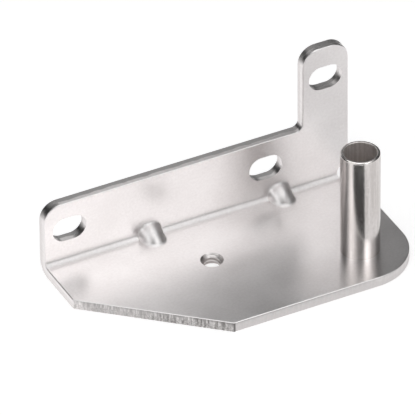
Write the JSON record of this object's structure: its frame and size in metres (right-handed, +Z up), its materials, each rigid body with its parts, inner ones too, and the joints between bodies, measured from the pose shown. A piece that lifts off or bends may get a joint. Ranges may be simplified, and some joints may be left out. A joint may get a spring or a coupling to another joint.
{
  "type": "fridge door hinge",
  "caption": "Folded steel hinge bracket for a fridge door: a slotted upright flange with a tall tab, and a plate carrying a hollow pivot pin and a tapped hole.",
  "frame": {"origin": "on the pivot pin's axis, where it meets the top face of the plate", "axes": "+Z up along the pivot pin, +X along the fold towards the pin's end, +Y from the door side towards the cabinet face"},
  "size_m": [0.1016, 0.0539, 0.0516],
  "materials": {
    "sheet_steel": "satin",
    "tube_steel": "polished"
  },
  "bodies": {
    "root": {"bracket": "sheet_steel", "pivot_tube": "tube_steel"}
  },
  "joints": []
}
